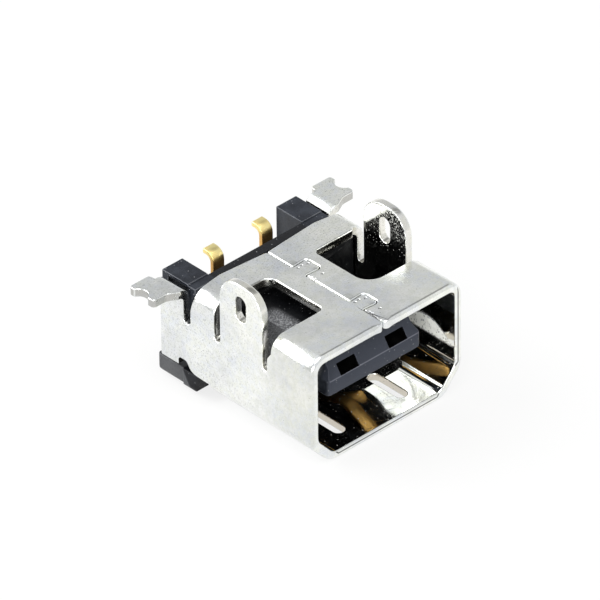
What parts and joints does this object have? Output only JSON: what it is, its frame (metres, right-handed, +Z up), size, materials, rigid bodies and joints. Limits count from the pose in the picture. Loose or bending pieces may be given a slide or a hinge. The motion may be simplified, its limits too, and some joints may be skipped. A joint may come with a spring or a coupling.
{
  "type": "charging jack",
  "caption": "Board-mount charging jack: a folded metal shell with perforated ears and solder wings round a black moulding with a tongue, and gold contacts with tails at the rear.",
  "frame": {"origin": "centre of the part's bounding box in X and Y, at the flat floor of the shell", "axes": "+X across the part towards the right-hand wing, +Y from the mouth to the solder tails, +Z up to the side that is soldered to the board"},
  "size_m": [0.0112, 0.0094, 0.0071],
  "materials": {
    "plating": "bright nickel plating on stamped sheet, finely scratched",
    "moulding": "black moulded, fine matte",
    "gilding": "gold-plated strip, smooth"
  },
  "bodies": {
    "root": {"shell": "plating", "housing": "moulding", "left_contact": "gilding", "right_contact": "gilding"}
  },
  "joints": []
}
